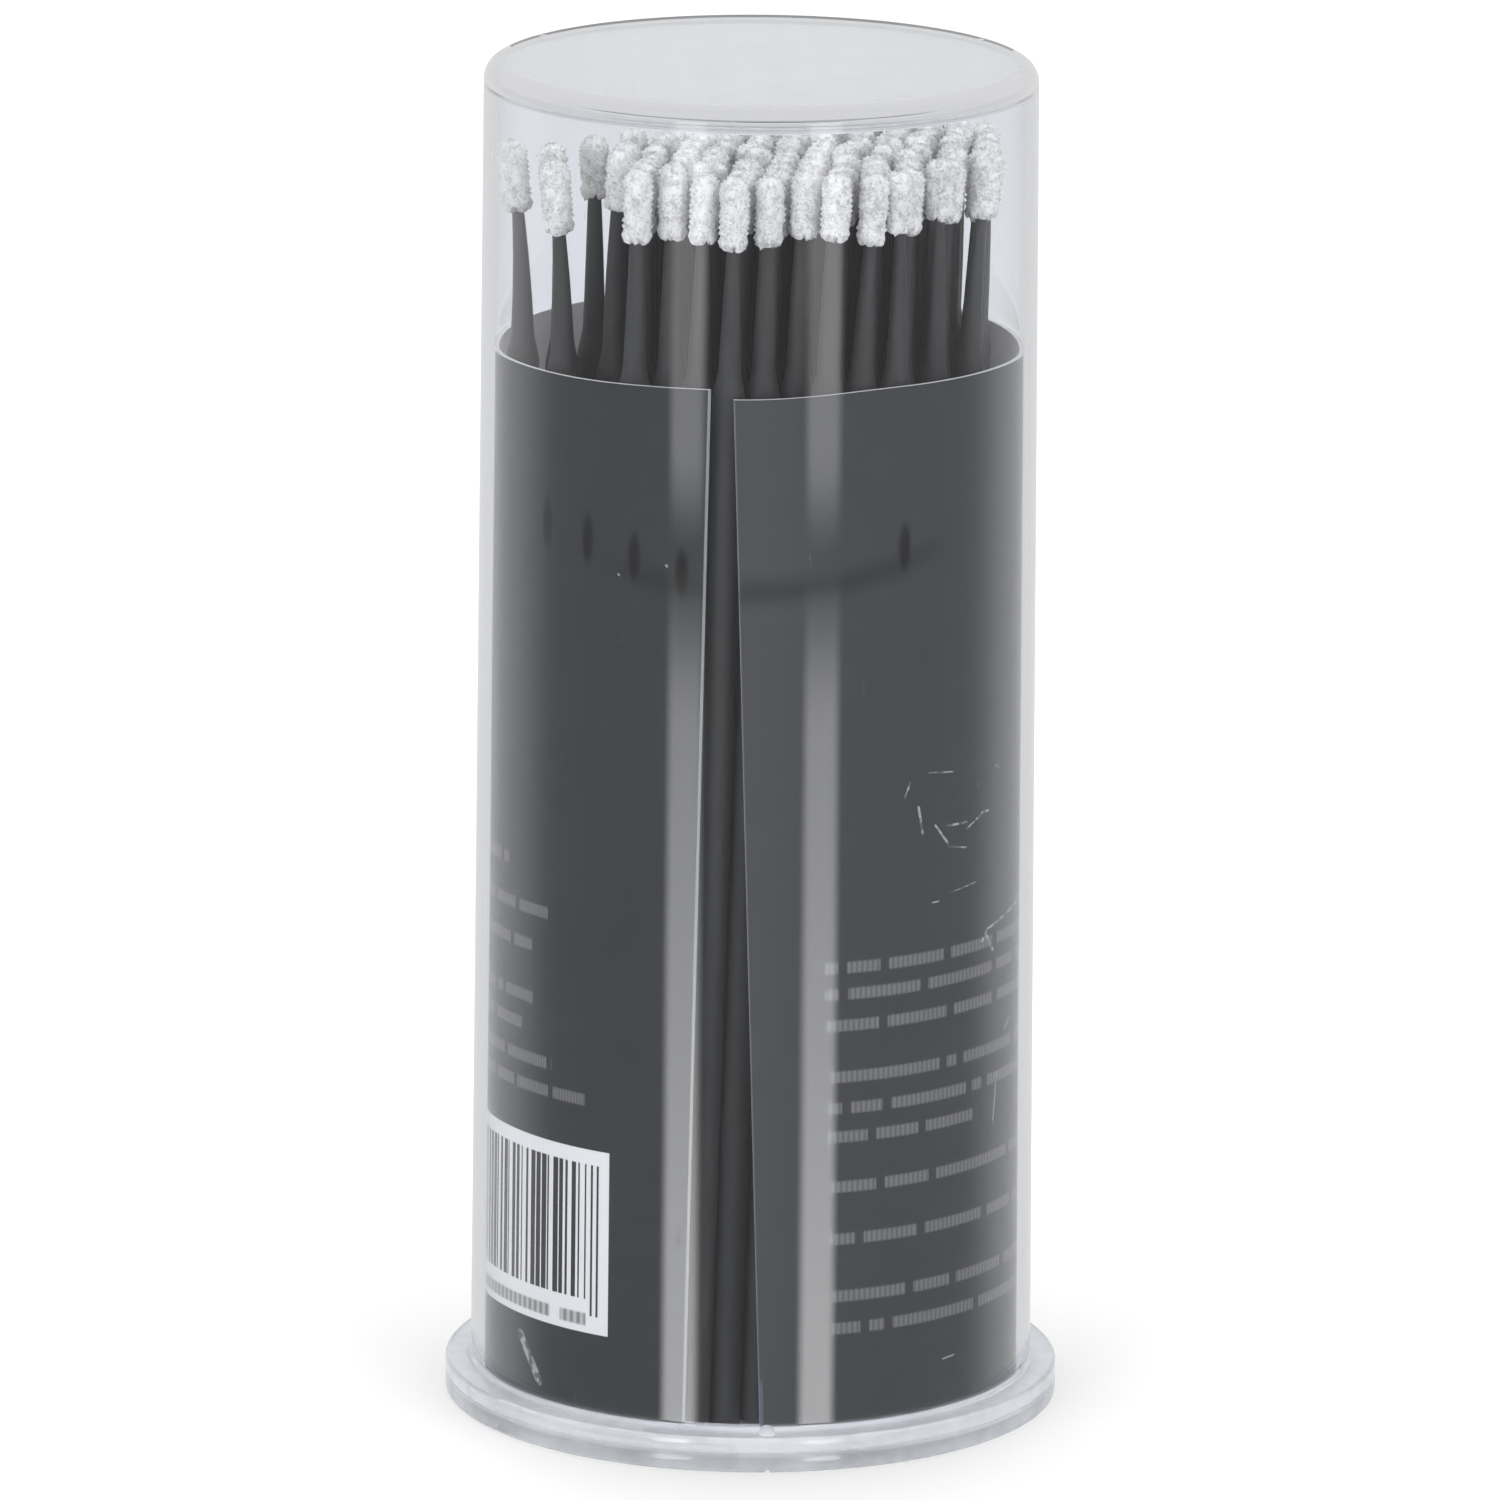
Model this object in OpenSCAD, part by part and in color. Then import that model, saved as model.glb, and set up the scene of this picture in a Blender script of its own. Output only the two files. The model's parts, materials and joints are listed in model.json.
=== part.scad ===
// Tub of micro applicators. A clear moulded tub stands mouth down on its press-in lid.
// A printed sheet is rolled inside the wall, and a bundle of flocked applicators stands on the lid.
// The front, where the mould's gate mark is, faces -Y.

/* [Tub] */
// Height of the tub from its mouth to the outside of its closed end
tub_height = 105.5; // [104:0.5:120]
// Outer diameter of the wall at the mouth
mouth_diameter = 44.5; // [43:0.5:60]
// Draft of the wall, which narrows towards the closed end, in degrees
draft_angle = 0.38; // [0.1:0.02:0.5]
// Thickness of the side wall
wall = 1; // [0.6:0.1:1.4]
// Thickness of the closed end
end_thickness = 1.4; // [0.8:0.1:2]
// Outer radius where the wall turns into the closed end
end_round = 1.5; // [0.8:0.1:2.5]
// Inner radius where the wall turns into the closed end
inner_round = 0.7; // [0.3:0.1:1.5]

/* [Flange] */
// Width of the flange beyond the wall
flange_width = 2; // [1.5:0.1:4]
// Thickness of the flange
flange_thickness = 1.3; // [1:0.1:2]
// Radius of the fillet at the foot of the wall
foot_fillet = 0.4; // [0.2:0.1:0.8]
// Rounding of the flange's and the lid's edges
rim_round = 0.3; // [0.1:0.05:0.4]
// Radius of the gate mark that the mould leaves on the flange
gate_radius = 0.65; // [0.4:0.05:0.8]

/* [Lid] */
// Thickness of the lid's plate
lid_thickness = 1.5; // [1:0.1:3]
// Height of the plug ring that presses into the mouth
plug_height = 1.3; // [0.8:0.1:3]
// Thickness of the plug ring
plug_thickness = 1.2; // [0.8:0.1:2]
// Radial clearance between the plug ring and the mouth
plug_clearance = 0.05; // [0.03:0.01:0.1]
// Width of the thumb notch in the lid's lower edge
notch_width = 0.9; // [0.5:0.1:2]
// Height of the thumb notch
notch_height = 0.5; // [0.3:0.1:0.8]
// Depth of the thumb notch into the rim
notch_depth = 0.8; // [0.4:0.1:1.4]

/* [Label] */
// Height of the printed sheet
label_height = 82; // [60:1:90]
// Thickness of the printed sheet
label_thickness = 0.3; // [0.2:0.05:0.4]
// Clearance between the sheet and the wall
label_clearance = 0.1; // [0.05:0.05:0.3]
// Clearance between the sheet's lower edge and the plug ring
label_lift = 0.1; // [0.05:0.05:1]
// Width of the gap between the sheet's ends at its lower edge
gap_bottom = 5.7; // [2:0.1:8]
// Width of the gap between the sheet's ends at its upper edge
gap_top = 1.7; // [0.5:0.1:5]
// Middle of that gap at the lower edge, measured sideways from the gate mark
gap_bottom_place = -3.3; // [-6:0.1:0]
// Middle of that gap at the upper edge, measured sideways from the gate mark
gap_top_place = -3.9; // [-6:0.1:0]

/* [Applicator] */
// Room between the tops of the flocked heads and the closed end
headspace = 4.4; // [2:0.1:8]
// Length of one applicator, flocked head included
applicator_length = tub_height - end_thickness - headspace;
// Diameter of the handle at its foot
foot_diameter = 2.4; // [2:0.1:2.6]
// Diameter of the grip, where the handle is thickest
grip_diameter = 2.7; // [2.6:0.1:3.4]
// Diameter of the handle just below its shoulder
shoulder_diameter = 2.5; // [2:0.1:2.6]
// Length of the neck from the shoulder to the top of the flocked head
neck_length = 15.1; // [13:0.1:18]
// Length over which the shoulder narrows to the neck
shoulder_length = 2; // [1:0.1:4]
// Height of the shoulder above the foot
shoulder_height = applicator_length - neck_length - shoulder_length;
// How far the thickest place of the grip lies below the shoulder
grip_drop = 12.6; // [4:0.2:30]
// Height of the thickest place above the foot
grip_height = shoulder_height - grip_drop;
// Diameter of the neck just above the shoulder
neck_diameter = 1.75; // [1.4:0.05:1.9]
// Diameter of the neck where the flocked head begins
tip_diameter = 0.85; // [0.6:0.05:1.1]
// Bevel round the handle's foot
foot_bevel = 0.15; // [0.05:0.05:0.4]
// Diameter of a flocked head
head_diameter = 1.95; // [1.6:0.05:2.3]
// Length of the shortest flocked head
head_length = 4.4; // [3.5:0.1:5]
// How much longer the longest flocked head reaches down its neck
head_spread = 1; // [0:0.1:1.5]
// Depth of the neck's end inside a flocked head
pin_depth = 3.4; // [2:0.1:3.4]
// Clearance between the neck's end and the flock round it
flock_clearance = 0.02; // [0.01:0.01:0.04]

/* [Bundle] */
// Rows of applicators that the bundle has, from the front wall backwards
row_count = 10; // [4:1:11]
// Clearance between two neighbouring grips
grip_clearance = 0.08; // [0.06:0.02:0.4]
// Clearance between the bundle and the sheet round it
bundle_clearance = 0.15; // [0.1:0.05:0.5]
// Direction in which the bundle has slumped, in degrees from the front towards +X
slump_angle = 21; // [0:1:30]
// How far the first row lies inside the outermost place that an applicator can take
first_row_inset = 1.2; // [0.8:0.1:2.5]
// Lean of the bundle towards +X, in degrees
lean_angle = 1.6; // [0:0.1:1.8]
// Share by which the bundle is narrower at its feet than at its grips
splay = 0.084; // [0:0.004:0.088]
// Sideways place that the bundle's leftmost heads reach
left_reach = -14; // [-15:0.1:-10]

/* [Loose applicators] */
// Directions of the three loose applicators round the tub, in degrees from the front towards -X
loose_angles = [80, 56, 74]; // [40:1:90]
// How far each loose applicator's grip stands inside the outermost place
loose_insets = [0.2, 0.2, 2.8]; // [0:0.1:4]

/* [Hidden] */
eps = 0.01;
arc_steps = 5;
shell_fn = 128;
stick_fn = 20;
grid_angle = 60;
scatter_seed = [214.06, 530.98];
scatter_gain = 43758.5;

mouth_r = mouth_diameter / 2;
flange_r = mouth_r + flange_width;
bore_r = mouth_r - wall;
plug_r = bore_r - plug_clearance;
plug_inner_r = plug_r - plug_thickness;
head_r = head_diameter / 2;
tip_r = tip_diameter / 2;
pin_r = tip_r - flock_clearance;
lead_in = rim_round / 2;

// Outer and inner radius of the wall at a height above the mouth
function wall_r(h) = mouth_r - tan(draft_angle) * h;
function bore_at(h) = wall_r(h) - wall;

// Heights above the mouth, where the sheet, the grips and the heads are
label_foot = plug_height + label_lift;
label_crown = label_foot + label_height;
label_inner_top = bore_at(label_crown) - label_clearance - label_thickness;
label_inner_grip = bore_at(grip_height) - label_clearance - label_thickness;

// Farthest that an applicator's axis may stand from the tub's axis, at its foot, grip and head
foot_limit = plug_inner_r - foot_diameter / 2 - bundle_clearance;
grip_limit = label_inner_grip - grip_diameter / 2 - bundle_clearance;
head_limit = label_inner_top - head_r - bundle_clearance;

// A bundle of lines: an applicator that stands at q at grip height stands here at height h
lean = [tan(lean_angle), 0];
spread = splay / grip_height;
function along(q, h) = q * (1 + spread * (h - grip_height)) + lean * (h - grip_height);

// Loose applicators stand near the wall and lean out a little with it
loose_count = len(loose_angles);
function loose_place(i) = (min(grip_limit, head_limit) - loose_insets[i])
    * [-sin(loose_angles[i]), -cos(loose_angles[i])];

// The grid of the bundle: rows run across the direction of slump
pitch = grip_diameter + grip_clearance;
row_pitch = pitch * sin(grid_angle);
slump = [sin(slump_angle), -cos(slump_angle)];
across = [cos(slump_angle), sin(slump_angle)];
half_row = ceil(grip_limit / pitch) + 1;

function clear_of_loose(q) = min([for (i = [0:loose_count - 1]) norm(q - loose_place(i))]) >= pitch
    && min([for (i = [0:loose_count - 1]) norm(along(q, 0) - loose_place(i))]) >= pitch
    && along(q, applicator_length)[0] >= left_reach;
function has_room(q) = norm(q) <= grip_limit
    && norm(along(q, 0)) <= foot_limit
    && norm(along(q, applicator_length)) <= head_limit
    && clear_of_loose(q);
function row_places(row) = [
    for (i = [-half_row:half_row])
        let (q = slump * (grip_limit - first_row_inset - row * row_pitch)
            + across * pitch * (i + (row % 2) / 2))
        if (has_room(q)) q
];

// A number from 0 to 1 that looks random but is the same at each build
function scatter(q) = let (s = sin(q / pitch * scatter_seed) * scatter_gain) s - floor(s);

function two_digits(n) = str(n < 10 ? "0" : "", n);
handle_rows = [for (row = [1:row_count]) str("handles_row_", two_digits(row))];
head_rows = [for (row = [1:row_count]) str("heads_row_", two_digits(row))];
loose_handles = [for (i = [1:loose_count]) str("loose_handle_", i)];
loose_heads = [for (i = [1:loose_count]) str("loose_head_", i)];

// Points of an arc round a centre, from one angle to another
function arc(centre, radius, from, to) = [
    for (i = [0:arc_steps])
        let (a = from + (to - from) * i / arc_steps)
        centre + radius * [cos(a), sin(a)]
];

// Half section of the tub, from its mouth upwards
function tub_section() = concat(
    [[bore_r + lead_in, 0], [flange_r - rim_round, 0]],
    arc([flange_r - rim_round, rim_round], rim_round, -90, 0),
    arc([flange_r - rim_round, flange_thickness - rim_round], rim_round, 0, 90),
    arc([wall_r(flange_thickness) + foot_fillet, flange_thickness + foot_fillet], foot_fillet, 270, 180),
    arc([wall_r(tub_height) - end_round, tub_height - end_round], end_round, 0, 90),
    [[0, tub_height], [0, tub_height - end_thickness]],
    arc([bore_at(tub_height) - inner_round, tub_height - end_thickness - inner_round], inner_round, 90, 0),
    [[bore_at(lead_in), lead_in]]
);

module tub() {
    color([0.82, 0.86, 0.9, 0.35])
    translate([0, 0, lid_thickness]) {
        rotate_extrude($fn = shell_fn) polygon(tub_section());
        translate([0, -wall_r(flange_thickness) - foot_fillet - gate_radius / 2, flange_thickness])
            sphere(gate_radius, $fn = 32);
    }
}

// Half section of the lid, from the middle of its underside outwards
function lid_section() = concat(
    [[0, 0], [flange_r - rim_round, 0]],
    arc([flange_r - rim_round, rim_round], rim_round, -90, 0),
    arc([flange_r - rim_round, lid_thickness - rim_round], rim_round, 0, 90),
    [[plug_r, lid_thickness], [plug_r, lid_thickness + plug_height - lead_in]],
    [[plug_r - lead_in, lid_thickness + plug_height], [plug_inner_r, lid_thickness + plug_height]],
    [[plug_inner_r, lid_thickness], [0, lid_thickness]]
);

module thumb_notch() {
    rotate([90, 0, 0])
        linear_extrude(notch_depth + eps)
            polygon([[-notch_width / 2, -eps], [notch_width / 2, -eps], [0, notch_height]]);
}

module lid() {
    color([0.84, 0.88, 0.92, 0.45])
    difference() {
        rotate_extrude($fn = shell_fn) polygon(lid_section());
        translate([0, notch_depth - flange_r, 0]) thumb_notch();
    }
}

// Half section of the rolled sheet
function label_section() = [
    [bore_at(label_foot) - label_clearance - label_thickness, label_foot],
    [bore_at(label_foot) - label_clearance, label_foot],
    [bore_at(label_crown) - label_clearance, label_crown],
    [bore_at(label_crown) - label_clearance - label_thickness, label_crown]
];

// The open V between the sheet's two ends, seen from the front
module label_gap() {
    rotate([90, 0, 0])
        linear_extrude(mouth_r)
            polygon([
                [gap_bottom_place - gap_bottom / 2, label_foot],
                [gap_bottom_place + gap_bottom / 2, label_foot],
                [gap_top_place + gap_top / 2, label_crown],
                [gap_top_place - gap_top / 2, label_crown]
            ]);
}

module label() {
    color([0.3, 0.31, 0.33])
    translate([0, 0, lid_thickness])
    difference() {
        rotate_extrude($fn = shell_fn) polygon(label_section());
        label_gap();
    }
}

// One handle with its neck, standing on its foot
module handle() {
    neck_height = shoulder_height + shoulder_length;
    head_foot = applicator_length - head_length;
    pin_top = head_foot + pin_depth;
    rotate_extrude($fn = stick_fn)
        polygon([
            [0, 0],
            [foot_diameter / 2 - foot_bevel, 0],
            [foot_diameter / 2, foot_bevel],
            [grip_diameter / 2, grip_height],
            [shoulder_diameter / 2, shoulder_height],
            [neck_diameter / 2, neck_height],
            [tip_r, head_foot - head_spread],
            [pin_r, head_foot - head_spread],
            [pin_r, pin_top],
            [0, pin_top]
        ]);
}

// One flocked head. It reaches down its neck by a share of the spread
module head(share) {
    reach = head_length + head_spread * share;
    socket_r = pin_r + flock_clearance;
    skirt = head_r / 3;
    rotate_extrude($fn = stick_fn)
        polygon(concat(
            [[socket_r, applicator_length - reach], [head_r - skirt, applicator_length - reach]],
            [[head_r, applicator_length - reach + skirt]],
            arc([0, applicator_length - head_r], head_r, 0, 90),
            [[0, applicator_length - head_length + pin_depth + flock_clearance]],
            [[socket_r, applicator_length - head_length + pin_depth + flock_clearance]]
        ));
}

// Stands its child at a foot point on the lid, leaning by a slope to each side
module stand(foot, slope) {
    tilt = atan(norm(slope));
    translate([foot[0], foot[1], lid_thickness + foot_diameter / 2 * sin(tilt)])
        rotate([0, 0, atan2(slope[1], slope[0])])
            rotate([0, tilt, 0])
                children();
}

module stand_in_bundle(q) {
    stand(along(q, 0), q * spread + lean) children();
}

module handles_in_row(row) {
    color([0.13, 0.13, 0.14])
    for (q = row_places(row)) stand_in_bundle(q) handle();
}

module heads_in_row(row) {
    color([0.96, 0.96, 0.95])
    for (q = row_places(row)) stand_in_bundle(q) head(scatter(q));
}

module loose_handle(i) {
    color([0.13, 0.13, 0.14])
    stand(loose_place(i), [0, 0]) handle();
}

module loose_head(i) {
    color([0.96, 0.96, 0.95])
    stand(loose_place(i), [0, 0]) head(scatter(loose_place(i)));
}

tub();
lid();
label();
for (row = [0:row_count - 1]) {
    handles_in_row(row);
    heads_in_row(row);
}
for (i = [0:loose_count - 1]) {
    loose_handle(i);
    loose_head(i);
}
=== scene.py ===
import json
import math
import random

import bpy
from bpy.props import FloatProperty, FloatVectorProperty, IntProperty, PointerProperty
from mathutils import Matrix, Quaternion, Vector, noise

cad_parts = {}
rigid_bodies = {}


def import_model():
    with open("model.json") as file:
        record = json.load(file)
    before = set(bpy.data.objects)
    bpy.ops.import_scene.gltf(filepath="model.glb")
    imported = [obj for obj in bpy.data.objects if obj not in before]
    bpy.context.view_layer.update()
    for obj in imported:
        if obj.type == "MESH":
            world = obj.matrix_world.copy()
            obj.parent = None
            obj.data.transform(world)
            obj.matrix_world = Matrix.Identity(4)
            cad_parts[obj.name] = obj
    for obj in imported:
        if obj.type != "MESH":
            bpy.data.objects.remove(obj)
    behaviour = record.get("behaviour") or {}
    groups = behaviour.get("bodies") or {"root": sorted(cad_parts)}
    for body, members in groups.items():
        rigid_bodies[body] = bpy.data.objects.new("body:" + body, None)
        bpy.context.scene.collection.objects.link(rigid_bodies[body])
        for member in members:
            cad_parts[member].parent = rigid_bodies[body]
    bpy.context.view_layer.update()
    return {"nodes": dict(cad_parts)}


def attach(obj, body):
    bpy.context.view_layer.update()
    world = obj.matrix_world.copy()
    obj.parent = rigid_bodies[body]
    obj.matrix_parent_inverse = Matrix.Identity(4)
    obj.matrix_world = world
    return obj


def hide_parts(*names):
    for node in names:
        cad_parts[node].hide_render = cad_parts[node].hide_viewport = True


bl_info = {
    "name": "Tub of micro applicators",
    "version": (1, 0, 0),
    "blender": (4, 5, 0),
    "location": "3D View > Sidebar > Applicator tub",
    "description": "Models a tub of flocked micro applicators round its packed CAD part",
    "category": "Object",
}

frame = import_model()

MM = 0.001
MERGE = 2e-7
LOOSE_MERGE = 1e-6
SMOOTH_LIMIT = math.radians(35)
EDGE_STEPS, CORNER_STEPS, INNER_STEPS = 5, 8, 6
WHITE = (1.0, 1.0, 1.0)
LID_BODY = "lid_with_applicators"
TUB_BODY = "tub_with_sheet"
HANDLE_NODES = sorted(n for n in frame["nodes"] if "handle" in n)
HEAD_NODES = sorted(n for n in frame["nodes"] if "head" in n)


def length(name, description, default):
    """A length in metres that the sidebar shows with its unit."""
    return FloatProperty(
        name=name, description=description, default=default, min=0, precision=5,
        unit="LENGTH", subtype="DISTANCE",
    )


def angle(name, description, degrees):
    """An angle, given here in degrees and kept in radians."""
    return FloatProperty(
        name=name, description=description, default=math.radians(degrees),
        unit="ROTATION", subtype="ANGLE",
    )


def colour(name, description, default):
    """A colour without alpha."""
    return FloatVectorProperty(
        name=name, description=description, default=default, size=3, min=0, max=1, subtype="COLOR",
    )


def plain(name, description, default):
    """A number without a unit."""
    return FloatProperty(name=name, description=description, default=default)


class TubSizes(bpy.types.PropertyGroup):
    """Sizes of the clear tub and its lid"""

    height: length("Height", "From the mouth to the outside of the closed end", 0.1055)
    mouth_radius: length("Mouth radius", "Outer radius of the wall at the mouth", 0.02225)
    draft: angle("Draft", "Slope of the wall towards the closed end", 0.38)
    wall: length("Wall", "Thickness of the side wall", 0.001)
    end_thickness: length("End thickness", "Thickness of the closed end", 0.0014)
    end_round: length("End round", "Outer radius where the wall turns into the closed end", 0.0015)
    inner_round: length("Inner round", "Inner radius at the closed end", 0.0007)
    flange_width: length("Flange width", "How far the flange stands out from the wall", 0.002)
    flange_thickness: length("Flange thickness", "Thickness of the flange", 0.0013)
    foot_fillet: length("Foot fillet", "Radius at the foot of the wall", 0.0004)
    rim_round: length("Rim round", "Rounding of the rims of flange and lid", 0.0003)
    lead_in: length("Lead-in", "Chamfer of the mouth and of the plug ring", 0.00015)
    gate_radius: length("Gate radius", "Radius of the gate mark on the flange", 0.00065)
    gate_swell: plain("Gate swell", "How much taller than round the gate mark is", 1.1)
    seat_gap: length("Seat gap", "Air between the flange and the lid", 0.00004)
    lid_thickness: length("Lid thickness", "Thickness of the lid's plate", 0.0015)
    plug_height: length("Plug height", "Height of the plug ring", 0.0013)
    plug_thickness: length("Plug thickness", "Thickness of the plug ring", 0.0012)
    plug_clearance: length("Plug clearance", "Between the plug ring and the mouth", 0.00005)
    notch_width: length("Notch width", "Width of the thumb notch", 0.0009)
    notch_height: length("Notch height", "Height of the thumb notch", 0.0005)
    notch_depth: length("Notch depth", "Depth of the thumb notch", 0.0008)
    notch_point: plain("Notch point", "Width at the notch's top as a share", 0.04)
    sides: IntProperty(name="Sides", description="Steps of each turned form", default=192, min=24)
    tint: colour("Tint", "What each surface of the plastic lets through", (0.91, 0.917, 0.932))
    lamp_tint: colour("Lamp tint", "What each surface lets through of lamps", (0.97, 0.97, 0.975))
    haze_colour: colour("Haze", "Milky cast of the plastic", (0.86, 0.88, 0.93))
    haze: plain("Haze share", "Milky share in the flange and the lid", 0.32)


class SheetSizes(bpy.types.PropertyGroup):
    """Sizes and colours of the rolled printed sheet"""

    height: length("Height", "Height of the sheet", 0.082)
    thickness: length("Thickness", "Thickness of the sheet", 0.0003)
    clearance: length("Clearance", "Between the sheet and the wall", 0.0001)
    lift: length("Lift", "Between the sheet and the plug ring", 0.0001)
    gap_bottom: length("Gap at the foot", "Width of the gap between the sheet's ends", 0.0057)
    gap_top: length("Gap at the top", "Width of the gap between the sheet's ends", 0.0017)
    gap_bottom_place: plain("Gap place at the foot", "Sideways from the gate mark (m)", -0.0033)
    gap_top_place: plain("Gap place at the top", "Sideways from the gate mark (m)", -0.0039)
    gap_sag: length("Sag", "How far the right end hangs below the left one", 0.00054)
    gap_rise: length("Rise", "How far the left end stands above the rest", 0.00018)
    gap_reach: length("Reach", "How far from the gap the upper edge sags or rises", 0.013)
    pale_line: length("Pale line", "Bare card along the gap's left edge", 0.00022)
    print_colour: colour("Ground", "Printed ground of the outer face", (0.028, 0.0305, 0.036))
    # Painted sheen: a paler ground right of the gap stands in for light that the sheet's gloss
    # catches there.
    painted_sheen_colour: colour("Sheen", "Paler ground right of the gap", (0.06, 0.062, 0.066))
    inner_colour: colour("Inner face", "Unprinted inner face", (0.82, 0.81, 0.83))
    edge_colour: colour("Cut edge", "Bare card at the cut edges", (0.75, 0.76, 0.77))
    ink_colour: colour("Pale ink", "Panel and lines of print", (0.88, 0.885, 0.89))
    bar_colour: colour("Dark ink", "Bars on the panel", (0.03, 0.03, 0.033))
    worn_colour: colour("Scuff", "Scratched print", (0.5, 0.54, 0.54))


class ApplicatorSizes(bpy.types.PropertyGroup):
    """Sizes and colours of one applicator"""

    length: length("Length", "Length with the flocked head", 0.0997)
    foot_radius: length("Foot radius", "Radius of the foot", 0.0012)
    foot_bevel: length("Foot bevel", "Bevel round the foot", 0.00015)
    grip_radius: length("Grip radius", "Radius at the thickest place", 0.00135)
    grip_height: length("Grip height", "Height of the thickest place", 0.07)
    shoulder_radius: length("Shoulder radius", "Radius below the shoulder", 0.00125)
    shoulder_height: length("Shoulder height", "Height of the shoulder", 0.0826)
    shoulder_length: length("Shoulder length", "Length of the shoulder", 0.002)
    neck_radius: length("Neck radius", "Radius above the shoulder", 0.000875)
    tip_radius: length("Tip radius", "Radius of the neck below the head", 0.000425)
    pin_top: length("Pin top", "Height of the neck's end inside the head", 0.0987)
    head_radius: length("Head radius", "Radius of a flocked head", 0.000975)
    head_length: length("Head length", "Length of a flocked head", 0.0049)
    neck_spread: plain("Neck spread", "How much wider than thick a neck is at its head", 1.5)
    lump_height: length("Lumps", "Height of the lumps in the flock", 0.0003)
    fibre_length: length("Fibres", "How far single tufts stand out", 0.00022)
    fray_length: length("Fray", "How far tufts hang down round the neck", 0.0005)
    sway: length("Sway", "How far a head of the bundle stands aside at most", 0.0006)
    loose_sway: length("Loose sway", "How far a loose head leans outwards", 0.0009)
    head_shift: length("Head shift", "How far a head sits higher or lower on its neck", 0.0003)
    shortest_head: plain("Shortest head", "Least length as a share", 0.86)
    longest_head: plain("Longest head", "Greatest length as a share", 1.08)
    sides: IntProperty(name="Sides", description="Sides of a handle", default=20, min=8)
    plastic: colour("Plastic", "Moulded handle", (0.05, 0.05, 0.052))
    flock: colour("Flock", "White flock", (0.94, 0.94, 0.935))


class StageSizes(bpy.types.PropertyGroup):
    """Camera, floor and light"""

    aim_height: length("Aim height", "Height that the camera looks at", 0.0535)
    distance: length("Distance", "From the camera to the middle of the tub", 0.93)
    elevation: angle("Elevation", "How far the camera looks down", 13.4)
    turn: angle("Turn", "How far the camera stands to the left of the gate mark", 3.3)
    roll: angle("Roll", "How far the camera is rolled", 0.5)
    lens: plain("Lens", "Focal length in millimetres", 284)
    shift_x: plain("Shift X", "Sideways shift of the camera", -0.0039)
    shift_y: plain("Shift Y", "Upward shift of the camera", -0.0129)
    floor_size: length("Floor", "Side of the floor", 4.0)
    floor_drop: length("Floor drop", "Air between the floor and the lid", 0.00005)
    floor_colour: colour("Floor colour", "Pale floor", (0.97, 0.97, 0.97))
    room_level: plain("Room level", "Brightness of the room, as matt faces gather it", 0.5)
    front_level: plain("Front level", "Brightness of the room in front, as gloss shows it", 0.37)
    rear_level: plain("Rear level", "Brightness of the room behind, as gloss shows it", 0.75)
    strip_distance: length("Strip distance", "From the tub to the strip lamps", 0.6)
    strip_level: plain("Strip level", "Radiance of the lower strips at their foot", 8.0)
    strip_dim: plain("Strip dim", "Share of it that is left at their top", 0.5)
    strip_upper_level: plain("Upper strip level", "Radiance of the upper strips", 2.9)
    bounces: IntProperty(name="Bounces", description="Turns of light in the plastic", default=14)
    deepest: plain("Deepest turn", "Turns after which the plastic lets light go straight on", 9.5)


# ---- Modelling helpers


def close_edit():
    """Goes back to object mode."""
    bpy.ops.object.mode_set(mode="OBJECT")


def clear_selection():
    """Leaves edit mode and deselects every object."""
    if bpy.context.object and bpy.context.object.mode != "OBJECT":
        close_edit()
    bpy.ops.object.select_all(action="DESELECT")


def pick(*pieces):
    """Selects these pieces alone and makes the first one active."""
    clear_selection()
    for piece in pieces:
        piece.select_set(True)
    bpy.context.view_layer.objects.active = pieces[0]


def edit(piece, action="DESELECT"):
    """Opens a piece in edit mode for vertices, with nothing or everything selected."""
    pick(piece)
    bpy.ops.object.mode_set(mode="EDIT")
    bpy.ops.mesh.select_mode(type="VERT")
    bpy.ops.mesh.select_all(action=action)


def resize(x, y, z, centre):
    """Resizes what is selected about a centre."""
    bpy.ops.transform.resize(value=(x, y, z), center_override=centre)


def move(x, y, z, **falloff):
    """Moves what is selected."""
    bpy.ops.transform.translate(value=(x, y, z), **falloff)


def start_from(primitive, **settings):
    """Adds a primitive on its own and opens it with everything selected."""
    clear_selection()
    primitive(**settings)
    piece = bpy.context.object
    edit(piece, "SELECT")
    return piece


def remove(*pieces):
    """Deletes whole objects."""
    pick(*pieces)
    bpy.ops.object.delete()


def apply_modifier(piece, kind, **settings):
    """Adds a modifier to the active piece, sets it and applies it."""
    bpy.ops.object.modifier_add(type=kind)
    modifier = piece.modifiers[-1]
    for key, setting in settings.items():
        setattr(modifier, key, setting)
    bpy.ops.object.modifier_apply(modifier=modifier.name)


def select_where(piece, mode, test):
    """Selects the vertices, edges or faces whose middle passes test."""
    bpy.ops.object.mode_set(mode="EDIT")
    bpy.ops.mesh.select_mode(type=mode)
    bpy.ops.mesh.select_all(action="DESELECT")
    close_edit()
    mesh = piece.data
    if mode == "VERT":
        for vertex in mesh.vertices:
            vertex.select = test(vertex.co)
    elif mode == "EDGE":
        for line in mesh.edges:
            line.select = test(*(mesh.vertices[i].co for i in line.vertices))
    else:
        for face in mesh.polygons:
            face.select = test(face.center, face.normal)
    bpy.ops.object.mode_set(mode="EDIT")


def drawn(place, seed, share):
    """Whether a place is in a random share of all places, whatever order they come in."""
    shifted = place / (0.2 * MM) + Vector((seed, 0, 0))
    return noise.cell(shifted) < 2 * share - 1


def named(piece, name):
    """Gives an object and its mesh one name."""
    piece.name = name
    piece.data.name = name
    return piece


def arc(radius_at, height_at, radius, start, end, steps):
    """Points of an arc in the half section, from one angle to another in degrees."""
    turns = [math.radians(start + (end - start) * i / steps) for i in range(steps + 1)]
    return [(radius_at + radius * math.cos(t), height_at + radius * math.sin(t)) for t in turns]


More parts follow.
